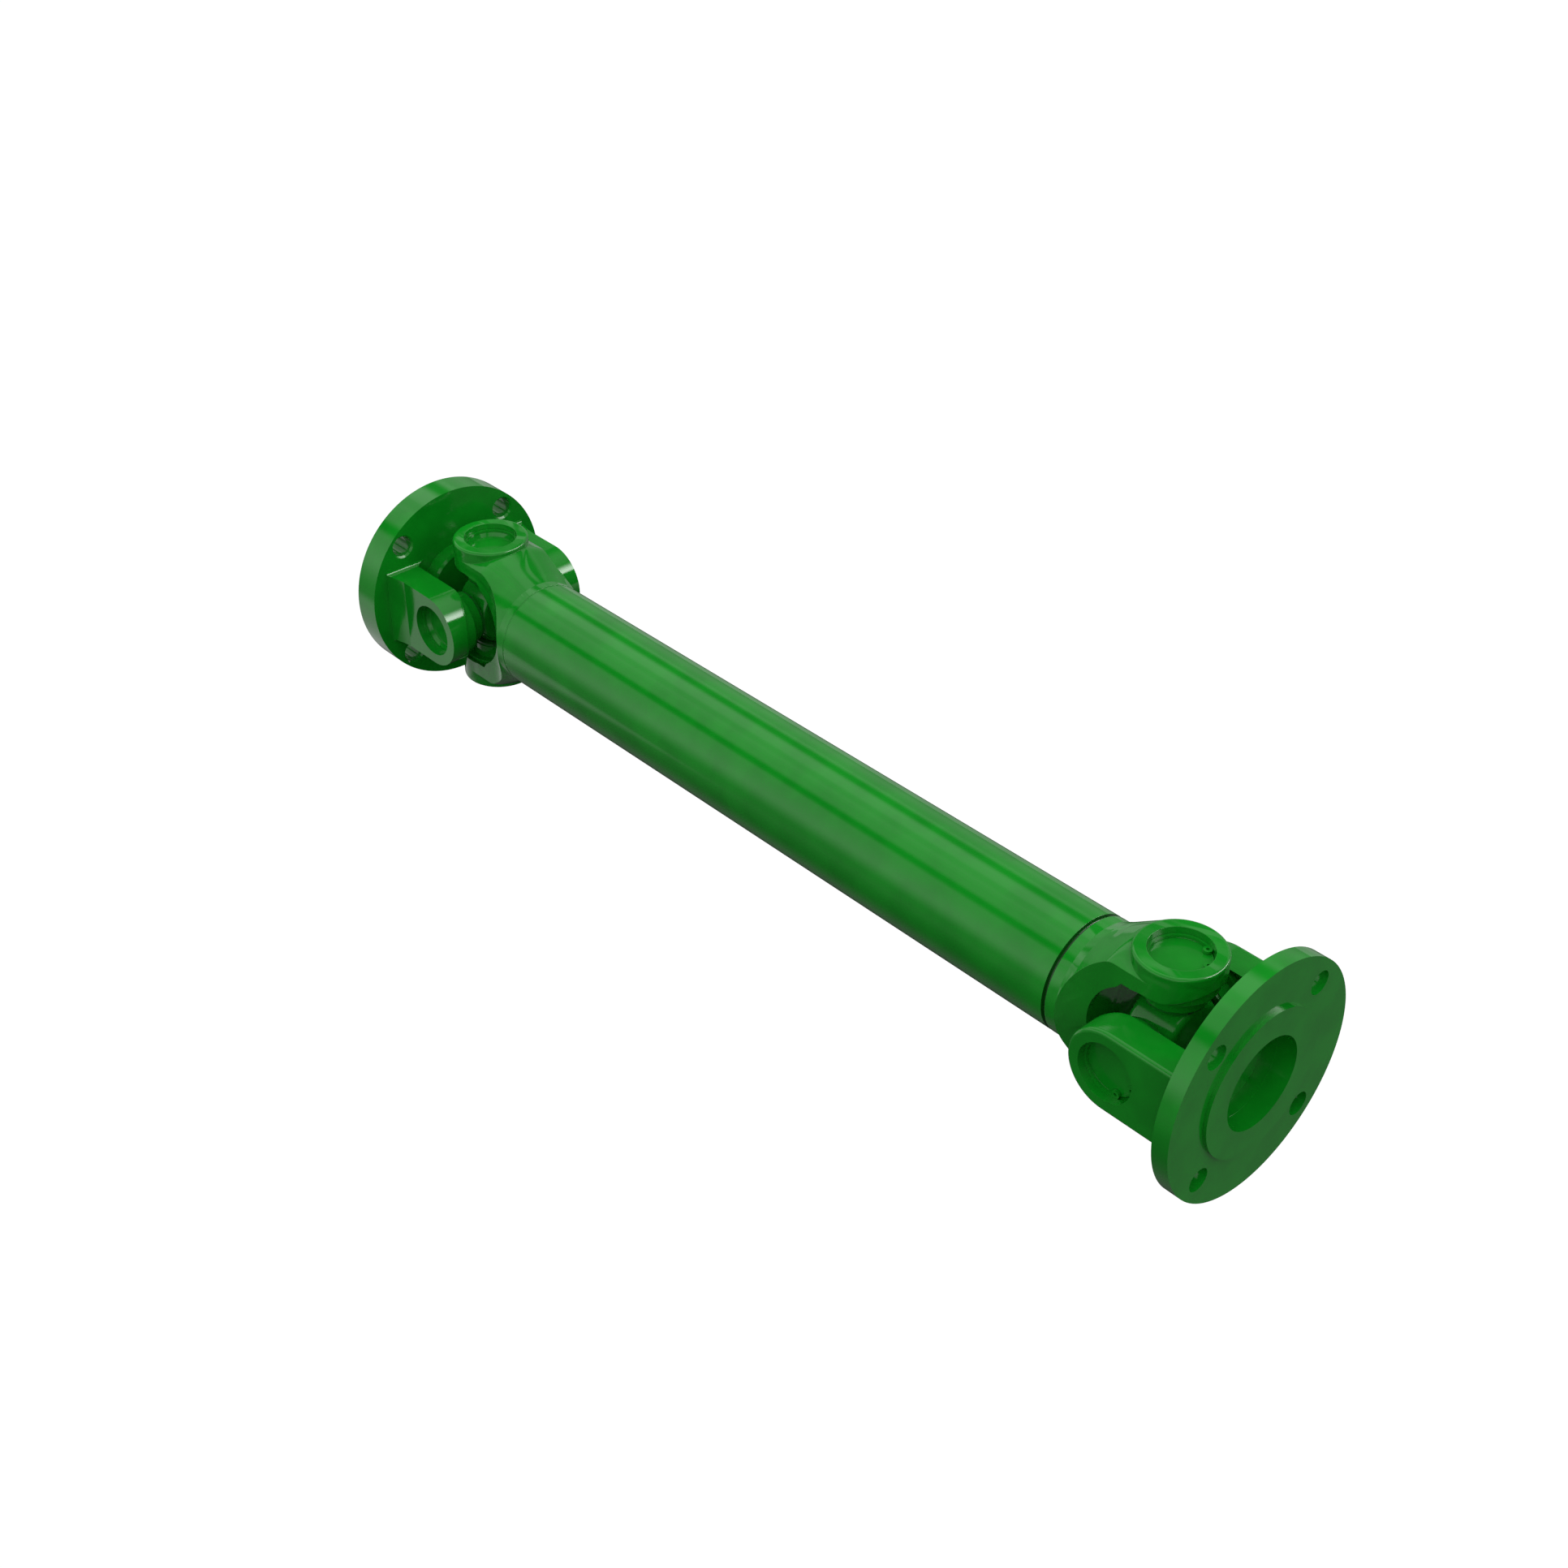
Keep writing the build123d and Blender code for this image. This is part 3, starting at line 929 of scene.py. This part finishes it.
@dataclass(frozen=True)
class Sky:
    """The soft sky. Gloss sees it as a photographer's tent with seams, and a softbox in one corner.

    The spans of lean and rise are angles in degrees, and the others are parts of a direction.
    """

    horizon: Horizon
    matt_light: float = 1.15
    matt_span: Span = (-0.1, 0.35)
    back_light: float = 0.42
    back_lean: Span = (-60.0, -45.0)
    seams: tuple[Seam, ...] = (
        Seam(36.0, 11.0, 0.0),
        Seam(34.0, 50.0, 0.66),
        Seam(-4.0, 8.0, 0.7),
        Seam(-40.5, 15.0, 0.05),
    )
    seam_core: float = 0.2
    streak_depth: float = 0.2
    streak_scale: float = 0.45
    streak_detail: float = 3.0
    streak_span: Span = (0.5, 0.62)
    streak_start: Span = (-16.0, -6.0)
    streak_stop: Span = (30.0, 20.0)
    corner_along: Span = (0.1, 0.35)
    corner_across: Span = (0.15, 0.35)
    corner_shade: float = 0.96
    softbox: float = 12.0
    softbox_foot: Span = (38.0, 43.0)
    softbox_top: Span = (68.0, 46.0)

    def tent(self, sheet: Sheet, lean: Value) -> Value:
        """The seams and fine streaks of the tent.

        Args:
            sheet: The world's node tree.
            lean: The direction's angle from straight up towards the front, in degrees.

        Returns:
            What the sky is multiplied by.
        """
        inputs = {"W": lean, "Scale": self.streak_scale, "Detail": self.streak_detail}
        streaks = sheet.node("ShaderNodeTexNoise", {"noise_dimensions": "1D"}, inputs)
        window = lean.ramp(*self.streak_start) * lean.ramp(*self.streak_stop)
        light = 1.0 - streaks.ramp(*self.streak_span) * window * self.streak_depth
        light = light * lean.ramp(*self.back_lean).lift(self.back_light)
        for seam in self.seams:
            off = (lean - seam.lean).size()
            light = light * off.ramp(seam.half_width * self.seam_core, seam.half_width).lift(seam.light)
        return light

    def build(self) -> None:
        """Makes the world: white to the camera, soft to matt surfaces, and the tent to gloss."""
        world = bpy.data.worlds.new("studio")
        bpy.context.scene.world = world
        world.use_nodes = True
        sheet = Sheet(world.node_tree)
        along, across, up = sheet.axes(sheet.direction())
        matt = up.ramp(*self.matt_span) * self.matt_light
        gloss = self.horizon.rise(up).lift(self.horizon.ground) * self.tent(sheet, (-across).angle(up))
        rise = up.angle(along)
        corner = along.ramp(*self.corner_along) * across.ramp(*self.corner_across)
        above_foot = rise.ramp(*self.softbox_foot)
        gloss = gloss * (1.0 - corner * (1.0 - above_foot) * self.corner_shade)
        gloss = gloss + corner * above_foot * rise.ramp(*self.softbox_top) * self.softbox
        camera_ray = sheet.ray(Ray.CAMERA)
        glossy_ray = sheet.ray(Ray.GLOSSY)
        seen = glossy_ray * gloss + (1.0 - glossy_ray) * matt
        strength = camera_ray + (1.0 - camera_ray) * seen
        shader = sheet.node("ShaderNodeBackground", inputs={"Color": WHITE, "Strength": strength})
        sheet.node("ShaderNodeOutputWorld", inputs={"Surface": shader})


@dataclass(frozen=True)
class Floor:
    """The pale floor: white to the camera, dim to matt surfaces, and shaded by place to gloss.

    The spans are places on the floor in metres from the shaft's middle, and each light has its own.
    """

    horizon: Horizon
    drop: float = 0.30
    half_width: float = 4.0
    shown_light: float = 0.96
    dark_tone: Colour = (0.05, 0.05, 0.05)
    pale_tone: Colour = (0.07, 0.07, 0.07)
    grain_size: float = 3 * MM
    front_across: Span = (0.2, -0.05)
    near_light: float = 0.06
    away_span: Span = (0.25, 0.8)
    patch_light: float = 0.45
    patch_along: Span = (0.44, 0.56)
    patch_across: Span = (-0.6, -0.4)
    corner_light: float = 0.15
    corner_along: Span = (0.25, 0.38)
    corner_across: Span = (0.0, 0.2)
    back_light: float = 0.38
    back_across: Span = (0.35, 0.9)
    under_light: float = 0.07
    under_across: Span = (0.22, 0.02)

    def gloss(self, place: Value) -> Value:
        """The light that gloss sees at a place on the floor.

        Args:
            place: The point on the floor.

        Returns:
            Its strength.
        """
        along, across, _ = place.sheet.axes(place)
        away = along.reach(across)
        below = (away * away + self.drop**2).root()
        far = self.horizon.rise(-(self.drop / below)) * (1.0 - self.horizon.ground)
        front = away.ramp(*self.away_span) * (self.horizon.ground - self.near_light) + self.near_light
        patch = (-along).ramp(*self.patch_along) * across.ramp(*self.patch_across)
        front = front + patch * self.patch_light
        corner = along.ramp(*self.corner_along) * across.ramp(*self.corner_across) * self.corner_light
        back = across.ramp(*self.back_across) * self.back_light
        under = across.size().ramp(*self.under_across) * self.under_light
        return far + front * across.ramp(*self.front_across) + corner + back + under

    def paint(self) -> bpy.types.Material:
        """Makes the floor's material.

        Returns:
            The finished material.
        """
        material, sheet = new_material("floor_paper")
        place = sheet.place()
        tone = sheet.blend(sheet.noise(place, self.grain_size), self.dark_tone, self.pale_tone)
        paper = sheet.node("ShaderNodeBsdfDiffuse", inputs={"Color": tone})
        lit = sheet.node("ShaderNodeAddShader", inputs={0: paper, 1: sheet.glow(self.shown_light)})
        unseen = sheet.choose(sheet.ray(Ray.GLOSSY), paper, sheet.glow(self.gloss(place)))
        sheet.show(sheet.choose(sheet.ray(Ray.CAMERA), unseen, lit))
        return material

    def build(self) -> bpy.types.Object:
        """Makes the floor.

        Returns:
            The floor.
        """
        shape = bmesh.new()
        bmesh.ops.create_grid(shape, x_segments=1, y_segments=1, size=self.half_width)
        bmesh.ops.translate(shape, vec=(0, 0, -self.drop), verts=shape.verts)
        floor = add_piece("floor", shape, self.paint())
        return floor


@dataclass
class PhotoCamera:
    """The camera of the photograph, as fitted to the shaft's edges.

    Its angles are in degrees, its distance and aim in metres, and its lens and sensor in millimetres.
    """

    azimuth: float = 47.5119
    elevation: float = 35.0115
    distance: float = 0.8909
    aim: Triple = (-0.00075, 0.0, 0.0)
    lens: float = 50.0
    sensor: float = 36.0

    def build(self) -> None:
        """Makes the camera and puts it in charge."""
        azimuth = math.radians(self.azimuth)
        elevation = math.radians(self.elevation)
        back = Vector(
            (
                math.sin(azimuth) * math.cos(elevation),
                -math.cos(azimuth) * math.cos(elevation),
                math.sin(elevation),
            )
        )
        data = bpy.data.cameras.new("photo_camera")
        data.lens = self.lens
        data.sensor_width = self.sensor
        camera = bpy.data.objects.new("photo_camera", data)
        bpy.context.scene.collection.objects.link(camera)
        camera.location = Vector(self.aim) + back * self.distance
        camera.rotation_euler = back.to_track_quat("Z", "Y").to_euler()
        bpy.context.scene.camera = camera


def main() -> None:
    """Builds and dresses everything."""
    logging.basicConfig(level=logging.INFO, format="%(name)s %(message)s")
    bpy.context.scene.view_settings.view_transform = "Standard"
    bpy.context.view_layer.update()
    horizon = Horizon()
    PhotoCamera().build()
    Sky(horizon).build()
    Floor(horizon).build()
    shop = PaintShop()
    CentreTube(shop).dress()
    for end in End:
        UniversalJoint(shop, end).build()
    FlangeHub(shop).build()


if __name__ == "__main__":
    main()
